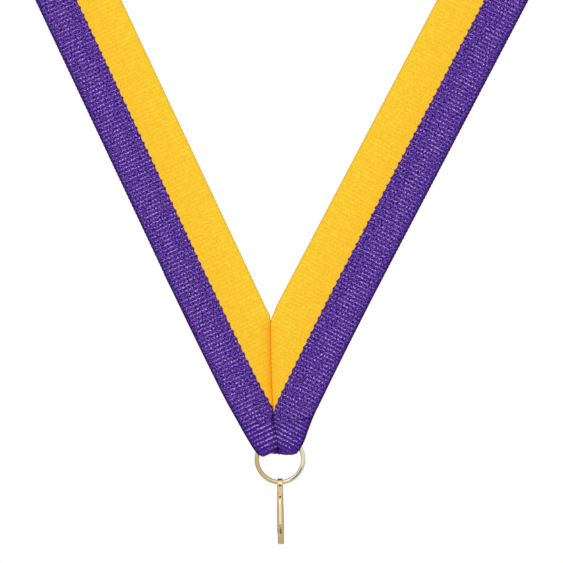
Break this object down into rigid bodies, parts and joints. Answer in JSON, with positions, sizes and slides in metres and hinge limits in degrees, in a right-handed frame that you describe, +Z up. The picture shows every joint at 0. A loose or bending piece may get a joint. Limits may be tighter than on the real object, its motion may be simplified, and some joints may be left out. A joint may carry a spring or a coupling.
{
  "type": "medal neck ribbon",
  "caption": "Medal neck ribbon: a two-colour grosgrain loop sewn into a V, with a wire ring in its turned-up tip and a spring snap clip for the medal.",
  "frame": {"origin": "the neck rest: the middle of the band's inner face at the back of the neck", "axes": "+Z up, the straps face -Y, +X to the right as the picture sees it, so the origin is behind and above the V"},
  "size_m": [0.2142, 0.1242, 0.2561],
  "materials": {
    "ribbon_cloth": "two-tone grosgrain, purple on the outer half and gold on the inner half, woven ribs across",
    "sewing_thread": "purple polyester thread",
    "ring_metal": "polished pale gold plate",
    "clip_metal": "polished pale gold plate"
  },
  "bodies": {
    "ribbon": {"ribbon": "ribbon_cloth", "seam_thread": "sewing_thread", "tack_thread": "sewing_thread"},
    "sleeve": {"ring_sleeve": "ribbon_cloth"},
    "ring": {"ring": "ring_metal"},
    "clip": {"clip_body": "clip_metal", "gate_root": "clip_metal", "gate_rivet": "clip_metal"},
    "gate": {"clip_gate": "clip_metal"}
  },
  "joints": [
    {"name": "ring_swing", "type": "hinge", "parent": "ribbon", "child": "sleeve", "pos_m": [-0.00231, -0.12051, -0.21267], "axis": [1, 0, 0], "range_deg": [-75, 75], "deforming": ["ring_sleeve"]},
    {"name": "ring_turn", "type": "hinge", "parent": "sleeve", "child": "ring", "pos_m": [-0.00231, -0.12051, -0.22157], "axis": [0, 1, 0], "range_deg": [-90, 90]},
    {"name": "clip_swing", "type": "hinge", "parent": "ring", "child": "clip", "pos_m": [-0.00231, -0.12051, -0.22794], "axis": [1, 0, 0], "range_deg": [-100, 100]},
    {"name": "gate_open", "type": "hinge", "parent": "clip", "child": "gate", "pos_m": [-0.00231, -0.12221, -0.23294], "axis": [1, 0, 0], "range_deg": [0, 24], "stiffness_Nm_per_rad": 0.01, "springref_deg": -5.73}
  ]
}
